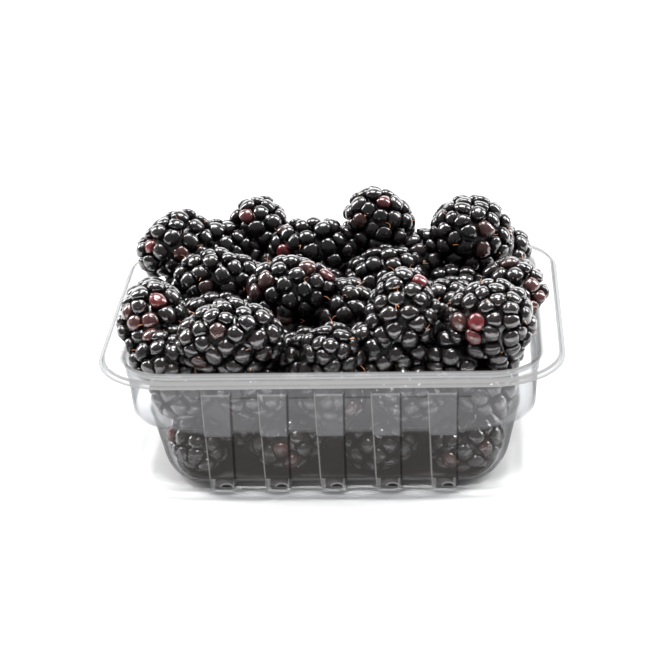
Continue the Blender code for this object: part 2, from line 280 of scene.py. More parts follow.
# How much drupelets differ: place along and round the berry in radians, size, how far each
# stands out, height, width, and lean.
ALONG_JITTER = 0.08
ROUND_JITTER = 0.12
BEAD_SIZES = (0.88, 1.12)
BEAD_LIFTS = (-0.25, 0.35)
BEAD_HEIGHTS = (0.94, 1.12)
BEAD_WIDTHS = (0.90, 1.12)
BEAD_LEAN = 0.2

# Each drupelet's mesh, where its hidden foot is cut off, how much of it counts as its top, and
# how deep in another berry that top may lie and still show.
BEAD_SIDES = 14
BEAD_RINGS = 9
BEAD_CUT = -0.45
BEAD_TOP = 0.6
SUNK_DEPTH = 0.86

# The dark heart of a berry: how much slimmer than the berry, in drupelets, and its mesh.
HEART_DEPTH = 1.35
HEART_SIDES = 14
HEART_RINGS = 9

# Drupelets that are less ripe: a place near each, and how red it is.
RIPE_SPOTS = (
    (-61, 15, 59, 0.9), (-50, 13, 56, 0.6), (-33, 33, 63, 0.8), (-21, 21, 54, 1.0),
    (-20, 27, 60, 0.3), (-29, -3, 49, 0.8), (-20, -14, 57, 0.35), (-9, -11, 62, 0.5),
    (-2, -7, 59, 0.8), (15, 29, 69, 0.8), (6, 26, 64, 0.4), (27, -27, 64, 1.0),
    (41, -41, 56, 0.9), (44, -44, 52, 0.75), (39, -41, 52, 0.4), (52, 19, 60, 0.4),
    (47, 15, 57, 0.45), (53, 5, 58, 0.35), (63, -8, 50, 0.55), (66, -5, 49, 0.65),
    (65, -8, 43, 0.4), (-59, -30, 53, 0.7), (-56, -28, 56, 0.85), (-57, -33, 48, 0.45),
    (-54, -33, 43, 0.5), (-58, -34, 42, 0.4), (-63, -30, 50, 0.5), (-65, -26, 51, 0.4),
    (-53, -30, 36, 0.4), (-49, -27, 38, 0.35), (-55, -31, 52, 0.5), (-32, -46, 53, 0.25),
    (-41, -45, 45, 0.25), (-42, -3, 52, 0.25), (-54, -36, 14, 0.9), (-18, -46, 12, 0.5),
    (-12, -46, 11, 0.45), (46, -44, 12, 0.4), (8, -46, 30, 0.3),
)
STRAY_RED_SHARE = 0.012
STRAY_REDS = (0.15, 0.5)

# Dry styles: how many drupelets have one, length, curl, radius and points along it.
HAIR_SHARE = 0.22
HAIR_LENGTHS = (2.2, 4.8)
HAIR_CURL = 1.2
HAIR_RADIUS = 0.11
HAIR_POINTS = 6

# Where a dry style is rooted, outwards and sideways, as shares of its drupelet's radius. Then how
# far it rises and leans, as shares of its length, how much it droops, and how much it thins.
HAIR_ROOT_OUT, HAIR_ROOT_SIDE = 0.55, 0.80
HAIR_RISE, HAIR_LEAN = 0.75, 0.45
HAIR_DROOP = 0.35
HAIR_THINNING = 0.6

# The skins' colours. Ripeness runs from nearly black to red.
DARK_SKIN = ((0.004, 0.003, 0.0035, 1.0), (0.012, 0.008, 0.008, 1.0))
RIPENESS = (
    (0.0, (0.014, 0.008, 0.008)), (0.4, (0.036, 0.014, 0.012)), (0.75, (0.050, 0.010, 0.010)),
    (1.0, (0.092, 0.009, 0.011)),
)
# The core's near-black colours are painted shade.
CORE_SHADE_COLOURS = ((0.004, 0.003, 0.003, 1.0), (0.014, 0.007, 0.007, 1.0))
HAIR_COLOURS = ((0.22, 0.06, 0.018, 1.0), (0.75, 0.33, 0.12, 1.0))

# Patterns in the skins: scale per metre, and detail.
SKIN_MOTTLE, SKIN_PITS, SKIN_GRAIN = (900.0, 3.0), (330.0, 2.0), (2600.0, 2.0)
CORE_DRIFT, HAIR_DRIFT = (260.0, 3.0), (500.0, 1.0)

# A berry's skin: how much the mottle blurs its ripeness, how fast red takes over from dark, how
# strong the grain is beside the pits, the strength of both and their depth in metres, and its
# roughness with the share that the mottle adds.
RIPENESS_BLUR = 0.5
RED_GAIN = 4.0
GRAIN_SHARE = 0.012
SKIN_DEPTH = (0.30, 0.0009)
SKIN_ROUGHNESS, MOTTLE_ROUGHNESS = 0.18, 0.12
CORE_ROUGHNESS, HAIR_ROUGHNESS = 0.7, 0.6


# ---------------- shader maths

class Wire:
    """A node's output socket, with the arithmetic that shader maths needs."""

    def __init__(self, tree, socket):
        self.tree = tree
        self.socket = socket

    def maths(self, operation, *others):
        """A Math node whose first value is this socket's."""
        return self.tree.maths(operation, self, *others)

    def __add__(self, other):
        return self.maths("ADD", other)

    def __radd__(self, other):
        return self.maths("ADD", other)

    def __sub__(self, other):
        return self.maths("SUBTRACT", other)

    def __rsub__(self, other):
        return self.tree.maths("SUBTRACT", other, self)

    def __mul__(self, other):
        return self.maths("MULTIPLY", other)

    def __rmul__(self, other):
        return self.maths("MULTIPLY", other)

    def clamped(self):
        return self.tree.add("ShaderNodeClamp", {}, {"Value": self})


class Tree:
    """A material's nodes, added by one method."""

    def __init__(self, name):
        self.material = bpy.data.materials.new(name)
        self.material.use_nodes = True
        self.nodes = self.material.node_tree.nodes
        self.links = self.material.node_tree.links
        self.nodes.clear()
        self.out = self.nodes.new("ShaderNodeOutputMaterial")

    def add(self, kind, settings=None, values=None, output=0):
        """A node of a kind, its settings first, then its sockets' values or links."""
        node = self.nodes.new(kind)
        for name, value in (settings or {}).items():
            if name == "stops":
                self.set_stops(node, value)
            else:
                setattr(node, name, value)
        for key, value in (values or {}).items():
            socket = node.inputs[key]
            if isinstance(value, Wire):
                self.links.new(value.socket, socket)
            else:
                socket.default_value = value
        return Wire(self, node.outputs[output])

    @staticmethod
    def set_stops(node, stops):
        """Fills a colour ramp with its stops, each a position and a colour."""
        ramp = node.color_ramp.elements
        while len(ramp) < len(stops):
            ramp.new(1.0)
        for element, (position, colour) in zip(ramp, stops):
            element.position = position
            element.color = (*colour, 1.0)

    def maths(self, operation, *values):
        return self.add("ShaderNodeMath", {"operation": operation}, dict(enumerate(values)))

    def place(self):
        """Where a point lies on the object, in metres."""
        return self.add("ShaderNodeTexCoord", output="Object")

    def axis(self, place, name):
        """How far a point lies along X, Y or Z."""
        return self.add("ShaderNodeSeparateXYZ", {}, {"Vector": place}, output=name)

    def carried(self, name):
        """A number that the vertices of the mesh carry."""
        return self.add("ShaderNodeAttribute", {"attribute_name": name}, output="Fac")

    def ramp(self, factor, stops):
        return self.add("ShaderNodeValToRGB", {"stops": stops}, {"Fac": factor})

    def bump(self, height, strength, distance):
        return self.add("ShaderNodeBump", {}, {
            "Strength": strength, "Distance": distance, "Height": height})

    def noise(self, place, scale, detail):
        return self.add(
            "ShaderNodeTexNoise", {}, {"Vector": place, "Scale": scale, "Detail": detail})

    def mix_colour(self, factor, first, second):
        """A colour between two others. Sockets 6 and 7 are the node's colour inputs."""
        return self.add(
            "ShaderNodeMix", {"data_type": "RGBA"}, {0: factor, 6: first, 7: second}, output=2)

    def mix_shader(self, factor, first, second):
        return self.add("ShaderNodeMixShader", {}, {0: factor, 1: first, 2: second})

    def finish(self, surface):
        self.links.new(surface.socket, self.out.inputs["Surface"])
        return self.material


def see_through(tree, tint):
    """A see-through shader that only tints what lies behind it."""
    return tree.add("ShaderNodeBsdfTransparent", {}, {"Color": (*tint, 1.0)})


def sheet_with_painted_reflection(tree, tint, painted_reflection):
    """A see-through shader that tints what lies behind it and adds a glow of painted reflection.
    """
    painted_glow = tree.add("ShaderNodeEmission", {}, {"Color": (*painted_reflection, 1.0), "Strength": 1.0})
    return tree.add("ShaderNodeAddShader", {}, {0: see_through(tree, tint), 1: painted_glow})


def line_at(value, middle, half_width):
    """A mask that is 1 where a value meets a middle, and fades out to 0 half a width away."""
    return (1 - (value - middle).maths("ABSOLUTE") * (1 / half_width)).clamped()


def bend_masks(tree, place, height):
    """Where the ribs lie, and the painted highlight and painted dark lines at the sheet's bends.

    The height is a share of the rim's. Distances along the wall are in rib pitches.
    """
    along = tree.axis(place, "X") * (1 / (RIB_PITCH * MM))
    offset = along - along.maths("ROUND")
    widening = RIB_TOP_WIDTH - RIB_FOOT_WIDTH
    half = (height * widening + RIB_FOOT_WIDTH) * (0.5 / RIB_PITCH)
    in_row = along.maths("ABSOLUTE").maths("LESS_THAN", LONG_SIDE_RIBS / 2)
    below_top = height.maths("LESS_THAN", RIB_TOP_LINE[0] + RIB_TOP_LINE[1] / 2)
    on_edges = in_row * below_top
    ribs = offset.maths("ABSOLUTE").maths("LESS_THAN", half) * on_edges
    left_edges = line_at(offset + half, 0.0, RIB_EDGE_LINE / RIB_PITCH) * on_edges
    right_edges = line_at(offset - half, 0.0, RIB_EDGE_LINE / RIB_PITCH) * on_edges
    rib_tops = line_at(height, *RIB_TOP_LINE) * ribs
    panel_tops = line_at(height, *PANEL_TOP_LINE) * in_row * (1 - ribs)
    step = line_at(height - (1 - ribs) * STEP_RISE, *STEP_LINE)
    drain_highlights = painted_drain_highlights(tree, place, offset, height) * in_row
    # Painted highlights go into the light mask, painted dark lines into the dark mask.
    light = left_edges.maths("MAXIMUM", rib_tops).maths("MAXIMUM", step * STEP_STRENGTH)
    dark = right_edges.maths("MAXIMUM", panel_tops * PANEL_TOP_STRENGTH)
    return ribs, light.maths("MAXIMUM", drain_highlights), dark


def painted_drain_highlights(tree, place, offset, height):
    """Painted highlights round the drain holes, which lie to the right of each rib's middle."""
    across = tree.axis(place, "Y")
    beside = offset + across.maths("SIGN") * (DRAIN_OFFSET / RIB_PITCH)
    above = (height - DRAIN_HEIGHT / RIM_HEIGHT) * (DRAIN_RIM_SLANT * RIM_HEIGHT / RIB_PITCH)
    away = (beside * beside + above * above).maths("SQRT")
    radius = DRAIN_DIAMETER / 2 + DRAIN_RIM_GAP
    rim_highlight = line_at(away, radius / RIB_PITCH, DRAIN_RIM_LINE / RIB_PITCH)
    return rim_highlight * across.maths("ABSOLUTE").maths("GREATER_THAN", DRAIN_RIM_START * MM)


def sheet_face_on(tree, ribs, painted_highlight_lines, height):
    """The sheet seen face on: its lower wall, upper wall and lip, each with a glow of painted
    reflection, and its painted highlight lines.
    """
    is_lip = tree.ramp(height, LIP)
    is_upper = tree.ramp(height, UPPER_WALL) * (ribs * (1 - PANEL_SHARE) + PANEL_SHARE)
    lower = sheet_with_painted_reflection(tree, LOWER_TINT, LOWER_PAINTED_REFLECTION)
    upper = sheet_with_painted_reflection(tree, UPPER_TINT, UPPER_PAINTED_REFLECTION)
    lip = sheet_with_painted_reflection(tree, LIP_TINT, LIP_PAINTED_REFLECTION)
    wall = tree.mix_shader(is_upper, lower, upper)
    return tree.mix_shader(is_lip.maths("MAXIMUM", painted_highlight_lines * PAINTED_HIGHLIGHT_LINES), wall, lip)


def clear_plastic():
    """Thin clear formed sheet with a glow of painted reflection, and painted highlight and painted
    dark lines at its bends: darker and glossier edge on.
    """
    tree = Tree("clear_plastic")
    place = tree.place()
    height = tree.axis(place, "Z").maths("DIVIDE", RIM_HEIGHT * MM)
    ribs, painted_highlight_lines, painted_dark_lines = bend_masks(tree, place, height)
    normal = tree.bump(tree.noise(place, *RIPPLE), *RIPPLE_DEPTH)
    facing = tree.add(
        "ShaderNodeLayerWeight", {}, {"Blend": 0.5, "Normal": normal}, output="Facing")
    # The dark edge tint also paints the dark lines at the bends.
    dark = facing.maths("POWER", EDGE_POWER).maths("MAXIMUM", painted_dark_lines * PAINTED_DARK_LINES).clamped()
    face_on = sheet_face_on(tree, ribs, painted_highlight_lines, height)
    through = tree.mix_shader(dark, face_on, see_through(tree, EDGE_TINT))
    gloss = tree.add("ShaderNodeBsdfGlossy", {}, {
        "Color": (1.0, 1.0, 1.0, 1.0), "Roughness": SHEET_ROUGHNESS, "Normal": normal})
    slant = ((facing - GLOSS_START) * GLOSS_GAIN).clamped()
    return tree.finish(tree.mix_shader(slant * slant * slant * GLOSS_MOST, through, gloss))


def berry_skin():
    """Moist, nearly black skin, redder where a drupelet is less ripe."""
    tree = Tree("berry_skin")
    place = tree.place()
    red, tone = tree.carried("redness"), tree.carried("tone")
    mottle = tree.noise(place, *SKIN_MOTTLE)
    ripening = (red + (mottle - 0.5) * RIPENESS_BLUR * red).clamped()
    dark = tree.mix_colour(tone, *DARK_SKIN)
    reds = tree.ramp(ripening, RIPENESS)
    colour = tree.mix_colour((red * RED_GAIN).clamped(), dark, reds)
    pits = tree.noise(place, *SKIN_PITS)
    grain = tree.noise(place, *SKIN_GRAIN)
    normal = tree.bump(pits + grain * GRAIN_SHARE, *SKIN_DEPTH)
    surface = tree.add("ShaderNodeBsdfPrincipled", {}, {
        "Base Color": colour, "Roughness": mottle * MOTTLE_ROUGHNESS + SKIN_ROUGHNESS,
        "IOR": 1.45, "Normal": normal, "Coat Weight": 0.35, "Coat Roughness": 0.06})
    return tree.finish(surface)


def dull_skin(name, colours, drift, roughness):
    """A dull finish that drifts between two colours."""
    tree = Tree(name)
    colour = tree.mix_colour(tree.noise(tree.place(), *drift), *colours)
    surface = tree.add(
        "ShaderNodeBsdfPrincipled", {}, {"Base Color": colour, "Roughness": roughness})
    return tree.finish(surface)


# ---------------- mesh helpers

def add_object(name, data):
    """A new object in the scene, at the origin."""
    made = bpy.data.objects.new(name, data)
    bpy.context.scene.collection.objects.link(made)
    return made


def add_piece(name, shape, finish, scale=MM):
    """A finished object at the origin from a bmesh, smooth shaded with one material."""
    bmesh.ops.scale(shape, verts=shape.verts, vec=(scale, scale, scale))
    mesh = bpy.data.meshes.new(name)
    shape.to_mesh(mesh)
    shape.free()
    mesh.materials.append(finish)
    mesh.shade_smooth()
    return add_object(name, mesh)


def settle_modifiers(made):
    """Turns an object's modifiers into its mesh."""
    depsgraph = bpy.context.evaluated_depsgraph_get()
    mesh = bpy.data.meshes.new_from_object(made.evaluated_get(depsgraph))
    made.modifiers.clear()
    made.data = mesh


def sleeve(columns):
    """A closed sleeve of quads: a grid whose rows go round through the columns, welded shut."""
    shape = bmesh.new()
    around = len(columns)
    along = len(columns[0]) - 1
    bmesh.ops.create_grid(shape, x_segments=around, y_segments=along, size=1.0)
    for vertex in shape.verts:
        column = round((vertex.co.x + 1) / 2 * around) % around
        row = round((vertex.co.y + 1) / 2 * along)
        vertex.co = columns[column][row]
    bmesh.ops.remove_doubles(shape, verts=shape.verts, dist=1e-5)
    return shape


# ---------------- the punnet

def rib_places():
    """Middles of the ribs on one long side, spread evenly about its middle."""
    return [(index - (LONG_SIDE_RIBS - 1) / 2) * RIB_PITCH for index in range(LONG_SIDE_RIBS)]


def wall_stations():
    """Stations round the wall, anticlockwise from the front left.

    A station on a rib is (side, rib middle, edge, distance outside the edge, share of the rib's
    height) and one on a corner is (side, angle). Sides 0 to 3 are front, right, back and left.
    """
    stations = []
    for side in range(4):
        middles = [] if side % 2 else rib_places()
        for middle in middles:
            for past, share in FLANK:
                stations.append((side, middle, -1, past, share))
            stations.append((side, middle, 0, 0.0, 1.0))
            for past, share in reversed(FLANK):
                stations.append((side, middle, 1, past, share))
        for step in range(CORNER_STEPS + 1):
            stations.append((side, math.pi / 2 * step / CORNER_STEPS))
    return stations


def side_point(side, along, half_length, half_width, out, height):
    """A point on a straight side, counted along it in the anticlockwise direction."""
    places = (
        (along, -half_width - out),
        (half_length + out, along),
        (-along, half_width + out),
        (-half_length - out, -along),
    )
    return Vector((*places[side], height))


def corner_point(side, angle, half_length, half_width, radius_x, radius_y, height):
    """A point on the rounded corner that follows a side."""
    turn = math.pi / 2 * (side - 1) + angle
    signs = ((1, -1), (1, 1), (-1, 1), (-1, -1))[side]
    return Vector((
        signs[0] * (half_length - radius_x) + radius_x * math.cos(turn),
        signs[1] * (half_width - radius_y) + radius_y * math.sin(turn),
        height,
    ))


def station_point(station, level):
    """Where a station meets a level of the wall."""
    panel_height, rib_height, half_length, half_width, radius_x, radius_y, rib_depth = level
    if len(station) == 2:
        return corner_point(*station, half_length, half_width, radius_x, radius_y, panel_height)
    side, middle, edge, past, share = station
    shrink = (RIB_TOP_WIDTH - RIB_FOOT_WIDTH) * (1 - rib_height / RIM_HEIGHT)
    along = middle + edge * ((RIB_TOP_WIDTH - shrink) / 2 + past)
    height = panel_height + (rib_height - panel_height) * share
    return side_point(side, along, half_length, half_width, rib_depth * share, height)


def rounded(points, reaches):
    """A profile with each inner corner turned into a bend that reaches some way from it."""
    profile = [points[0]]
    for before, corner, after, reach in zip(points, points[1:], points[2:], reaches[1:]):
        back, on = before - corner, after - corner
        start = corner + back.normalized() * min(reach, back.length * BEND_ROOM)
        end = corner + on.normalized() * min(reach, on.length * BEND_ROOM)
        for step in range(BEND_STEPS):
            share = step / (BEND_STEPS - 1)
            profile.append(start.lerp(corner, share).lerp(corner.lerp(end, share), share))
    profile.append(points[-1])
    return profile


def wall_levels():
    """Every level from the rim's lip to the base, each with the reach of its bend."""
    levels = []
    for inset, drop, reach in RIM_SECTION:
        height = RIM_HEIGHT - drop
        radius = RIM_CORNER - inset
        sizes = (RIM_LENGTH / 2 - inset, RIM_WIDTH / 2 - inset, radius, radius)
        levels.append((height, height, *sizes, 0.0, reach))
    return levels + list(WALL_LEVELS)


def punnet_sheet():
    """The punnet's outer skin: the wall as one sleeve, with its ribs, and the base across it."""
    levels = wall_levels()
    reaches = [level[-1] for level in levels]
    columns = []
    for station in wall_stations():
        points = [station_point(station, level[:-1]) for level in levels]
        columns.append(rounded(points, reaches))
    shape = sleeve(columns)
    close_base(shape)
    bmesh.ops.recalc_face_normals(shape, faces=shape.faces)
    lowest = min(shape.faces, key=lambda face: face.calc_center_median().z)
    if lowest.normal.z > 0:
        bmesh.ops.reverse_faces(shape, faces=shape.faces)
    return shape


def close_base(shape):
    """Joins the front and back feet under the base, and fills the flat ends."""
    half_width, rib_depth = WALL_LEVELS[-1][3], WALL_LEVELS[-1][6]
    reach = rib_places()[-1] + RIB_FOOT_WIDTH / 2 + FLANK[0][0] + SLACK
    across = []
    for edge in base_outline(shape):
        ends = [vertex.co for vertex in edge.verts]
        on_side = all(abs(abs(end.y) - half_width) < rib_depth + SLACK for end in ends)
        if on_side and all(abs(end.x) < reach for end in ends):
            across.append(edge)
    bmesh.ops.bridge_loops(shape, edges=across)
    bmesh.ops.holes_fill(shape, edges=base_outline(shape), sides=0)


def base_outline(shape):
    """The open edges at the foot of the wall."""
    return [
        edge for edge in shape.edges if edge.is_boundary and edge.verts[0].co.z < BASE_TOP]


def drain_cutter():
    """Round cutters through the lower bend of each rib on the two long sides."""
    shape = bmesh.new()
    foot = WALL_LEVELS[FOOT]
    tilt = Matrix.Rotation(math.radians(-DRAIN_TILT), 4, "X")
    for turned in (False, True):
        for middle in rib_places():
            place = Vector((middle + DRAIN_OFFSET, -foot[3] - foot[6], DRAIN_HEIGHT))
            aim = Matrix.Translation(place) @ tilt
            if turned:
                aim = Matrix.Rotation(math.pi, 4, "Z") @ aim
            bmesh.ops.create_cone(
                shape, cap_ends=True, segments=DRAIN_SIDES, radius1=DRAIN_DIAMETER / 2,
                radius2=DRAIN_DIAMETER / 2, depth=DRAIN_REACH, matrix=aim)
    return shape


def build_punnet(finish):
    """The clear punnet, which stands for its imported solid."""
    punnet = add_piece("clear_punnet", punnet_sheet(), finish)
    cutter = add_piece("drain_cutter", drain_cutter(), finish)
    wall = punnet.modifiers.new("sheet", "SOLIDIFY")
    wall.thickness = SHEET * MM
    wall.offset = -1.0
    drains = punnet.modifiers.new("drains", "BOOLEAN")
    drains.operation = "DIFFERENCE"
    drains.object = cutter
    settle_modifiers(punnet)
    bpy.data.objects.remove(cutter)
    punnet.data.shade_smooth()
    punnet.data.set_sharp_from_angle(angle=math.radians(CREASE))
    return punnet


# ---------------- the heap

def wall_at(height):
    """Half length, half width and corner radii of the panels at a height, inside the ledge."""
    levels = WALL_LEVELS[:LEDGE_TOP] + WALL_LEVELS[LEDGE_TOP + 1:]
    if height >= levels[0][0]:
        return list(levels[0][2:6])
    for upper, lower in zip(levels, levels[1:]):
        if lower[0] <= height and upper[0] > lower[0]:
            share = (height - lower[0]) / (upper[0] - lower[0])
            return [low + (high - low) * share for low, high in zip(lower[2:6], upper[2:6])]
    return list(levels[-2][2:6])


def point_along(half_length, half_width, radius, distance):
    """A point, and its direction of travel, a distance along a rounded rectangle."""
    runs = (2 * (half_length - radius), 2 * (half_width - radius)) * 2
    bend = math.pi / 2 * radius
    for side, run in enumerate(runs):
        if distance <= run:
            point = side_point(side, distance - run / 2, half_length, half_width, 0.0, 0.0)
            return point, math.pi / 2 * side
        distance -= run
        if distance <= bend:
            angle = distance / radius
            point = corner_point(side, angle, half_length, half_width, radius, radius, 0.0)
            return point, math.pi / 2 * side + angle
        distance -= bend
    return point_along(half_length, half_width, radius, distance)


def grid_berries(draw, rows, columns, height, length, width):
    """Berries in staggered rows between the walls, in the form of the top berries."""
    berries = []
    for row in range(rows):
        shift = ROW_SHIFT if row % 2 else -ROW_SHIFT
        for column in range(columns):
            x = (column - (columns - 1) / 2 + shift) * ROW_PITCH_X + draw.uniform(*ROW_STRAY_X)
            y = (row - (rows - 1) / 2) * ROW_PITCH_Y + draw.uniform(*ROW_STRAY_Y)
            z = height + draw.uniform(*ROW_STRAY_Z)
            turn = draw.uniform(0, 360)
            berries.append((x, y, z, length, width, turn, draw.uniform(*TILTS)))
    return berries


def ring_stops(half_length, half_width, radius, between):
    """Distances along a rounded rectangle: one in each corner, and some evenly between them."""
    bend = math.pi / 2 * radius
    start = -bend / 2
    stops = []
    for side in range(4):
        run = 2 * ((half_width if side % 2 else half_length) - radius)
        count = between[side % 2]
        stops += [start + (run + bend) * (index + 1) / (count + 1) for index in range(count + 1)]
        start += run + bend
    return stops


def wall_berries(draw):
    """Berries that lie against the walls, in the form of the top berries."""
    berries = []
    for height, between, length, width in WALL_LAYERS:
        low = wall_at(height - width / 4)
        inset = SHEET + CLEARANCE + WALL_BERRY_GAP + width / 2
        half_length, half_width = low[0] - inset, low[1] - inset
        radius = (low[2] + low[3]) / 2 - inset
        for stop in ring_stops(half_length, half_width, radius, between):
            stop += draw.uniform(*WALL_STRAY)
            place, heading = point_along(half_length, half_width, radius, stop)
            turn = math.degrees(heading) + draw.uniform(*WALL_TURN)
            rise = height + draw.uniform(*WALL_RISE)
            size = draw.uniform(*WALL_SIZES)
            tilt = draw.uniform(*TILTS)
            berries.append((place.x, place.y, rise, length * size, width * size, turn, tilt))
    return berries


def kept_inside(point):
    """A point, pressed back to the inside of the punnet's wall and floor where it is past them."""
    keep = SHEET + CLEARANCE + PRESS_GIVE
    height = max(point.z, WALL_LEVELS[-1][0] + keep)
    free = (height - RIM_HEIGHT + FREE_START) / FREE_REACH
    if free >= 1:
        return point
    half_length, half_width, radius_x, radius_y = wall_at(height)
    half_length -= keep
    half_width -= keep
    past_x = (abs(point.x) - half_length + radius_x) / radius_x
    past_y = (abs(point.y) - half_width + radius_y) / radius_y
    x = min(abs(point.x), half_length)
    y = min(abs(point.y), half_width)
    if past_x > 0 and past_y > 0 and math.hypot(past_x, past_y) > 1:
        reach = math.hypot(past_x, past_y)
        x = half_length - radius_x + radius_x * past_x / reach
        y = half_width - radius_y + radius_y * past_y / reach
    held = Vector((math.copysign(x, point.x), math.copysign(y, point.y), height))
    past = point - held
    if past.length < 1e-6:
        return point
    held += past.normalized() * PRESS_GIVE * (1 - math.exp(-past.length / PRESS_SOFTNESS))
    free = max(free, 0.0)
    return held.lerp(point, free * free * (3 - 2 * free))


class Berry:
    """A berry's place, and the drupelets that sit round it."""

    def __init__(self, place, draw):
        x, y, z, self.length, self.width, turn, tilt = place
        self.middle = Vector((x, y, z))
        self.aim = Euler((0.0, math.radians(90 - tilt), math.radians(turn))).to_matrix()
        self.back = self.aim.transposed()
        self.beads = self.set_beads(draw)

    def depth_of(self, point):
        """How far out a point lies, where 1 is the berry's outside."""
        x, y, z = self.back @ (point - self.middle)
        return math.hypot(2 * x / self.width, 2 * y / self.width, 2 * z / self.length)

    def set_beads(self, draw):
        """Places of the drupelets: middle, way out, radius."""
        mean = (2 * self.width + self.length) / 3
        spacing = SPACING * (FIXED_SPACING + GROWING_SPACING * mean / USUAL_SIZE)
        count = round(math.pi * (mean - spacing) ** 2 / (BEAD_PACKING * spacing ** 2))
        start = draw.uniform(0, 2 * math.pi)
        beads = []
        for index in range(count):
            from_tip = math.acos(1 - 2 * (index + 0.5) / count)
            from_tip += draw.uniform(-ALONG_JITTER, ALONG_JITTER)
            turn = start + index * GOLDEN_ANGLE + draw.uniform(-ROUND_JITTER, ROUND_JITTER)
            radius = spacing * BEAD_RISE * draw.uniform(*BEAD_SIZES)
            girth = self.width / 2 * (1 - BERRY_TAPER * math.cos(from_tip)) - radius
            half = self.length / 2 - radius
            across = Vector((math.cos(turn), math.sin(turn), 0.0))
            local = across * girth * math.sin(from_tip)
            local.z = half * math.cos(from_tip)
            out = across * math.sin(from_tip) / girth
            out.z = math.cos(from_tip) / half
            out.normalize()
            local += out * draw.uniform(*BEAD_LIFTS)
            beads.append((self.middle + self.aim @ local, self.aim @ out, radius))
        return beads


def bead_pattern(shape):
    """A drupelet one unit in radius that bulges along +Z, closed at its hidden foot."""
    bmesh.ops.create_uvsphere(shape, u_segments=BEAD_SIDES, v_segments=BEAD_RINGS, radius=1.0)
    bmesh.ops.bisect_plane(
        shape, geom=shape.verts[:] + shape.edges[:] + shape.faces[:],
        plane_co=(0, 0, BEAD_CUT), plane_no=(0, 0, -1), clear_outer=True)
    bmesh.ops.holes_fill(shape, edges=shape.edges, sides=0)
    return shape.verts[:] + shape.edges[:] + shape.faces[:]


def pressing_planes(bead, beads):
    """The planes where a drupelet meets its neighbours: the way to each, and how far off it is."""
    middle, _, radius = bead
    planes = []
    for other in beads:
        apart = other[0] - middle
        distance = apart.length
        if 0 < distance < NEIGHBOUR_REACH * radius:
            planes.append((apart / distance, distance * radius / (radius + other[2])))
    return planes


def pressed(point, planes):
    """A point of a swelling drupelet, held back softly by the planes round it."""
    for way, limit in planes:
        reach = point.dot(way)
        free = PRESS_START * limit
        if reach > free:
            room = limit - free
            held = free + room * (1 - math.exp((free - reach) / room))
            point = point + way * (held - reach)
    return point


def add_bead(shape, pattern, bead, planes, redness, draw):
    """One drupelet: swollen, held back by its neighbours, and pressed flat by the punnet."""
    middle, out, radius = bead
    copied = bmesh.ops.duplicate(shape, geom=pattern)["geom"]
    made = [element for element in copied if isinstance(element, bmesh.types.BMVert)]
    layers = tint_layers(shape)
    side = out.orthogonal().normalized()
    spin = Matrix.Rotation(draw.uniform(0, math.pi), 3, "Z")
    frame_of_bead = Matrix((side, out.cross(side), out)).transposed() @ spin
    wide = draw.uniform(*BEAD_WIDTHS)
    swell = radius * BEAD_SWELL / BEAD_RISE
    sizes = Matrix.Diagonal((swell * wide, swell / wide, radius * draw.uniform(*BEAD_HEIGHTS)))
    lean_x = draw.uniform(-BEAD_LEAN, BEAD_LEAN)
    lean_y = draw.uniform(-BEAD_LEAN, BEAD_LEAN)
    shape_of_bead = frame_of_bead @ sizes
    tone = draw.random()
    for vertex in made:
        x, y, z = vertex.co
        point = Vector((x + lean_x * z * z, y + lean_y * z * z, z))
        vertex.co = kept_inside(middle + pressed(shape_of_bead @ point, planes))
        vertex[layers[0]] = redness
        vertex[layers[1]] = tone


def core_half_sizes(height):
    """The heap core's half length and half width at a height, or None above or below it."""
    if not CORE_FOOT < height < CORE_ROWS[-1][0]:
        return None
    half_length, half_width = wall_at(height)[:2]
    return half_length - CORE_INSET, half_width - CORE_INSET


def in_core(point):
    """True where a point lies well inside the heap's dark core."""
    sizes = core_half_sizes(point.z)
    if not sizes:
        return False
    return abs(point.x) < sizes[0] - CORE_SINK and abs(point.y) < sizes[1] - CORE_SINK


def shown_beads(berry, others):
    """The berry's drupelets that aren't sunk in another berry or in the core."""
    kept = []
    for bead in berry.beads:
        top = bead[0] + bead[1] * bead[2] * BEAD_TOP
        if in_core(top):
            continue
        if any(other.depth_of(top) < SUNK_DEPTH for other in others):
            continue
        kept.append(bead)
    return kept


def near(berry, berries):
    """Other berries close enough to touch one."""
    found = []
    for other in berries:
        apart = (other.middle - berry.middle).length
        if other is not berry and apart < (other.length + berry.length) / 2:
            found.append(other)
    return found


def tint_layers(shape):
    """The two numbers that each vertex of a berry carries: how red it is, and its tone."""
    floats = shape.verts.layers.float
    return [floats.get(key) or floats.new(key) for key in ("redness", "tone")]


def berry_heart(shape, berry):
    """The dark inside of a berry, which closes the gaps between its drupelets."""
    girth = berry.width - SPACING * HEART_DEPTH
    height = berry.length - SPACING * HEART_DEPTH
    sizes = Matrix.Diagonal((girth, girth, height)).to_4x4()
    turn = Matrix.Translation(berry.middle) @ berry.aim.to_4x4() @ sizes
    made = bmesh.ops.create_uvsphere(
        shape, u_segments=HEART_SIDES, v_segments=HEART_RINGS, radius=0.5)["verts"]
    for vertex in made:
        vertex.co = kept_inside(turn @ vertex.co)


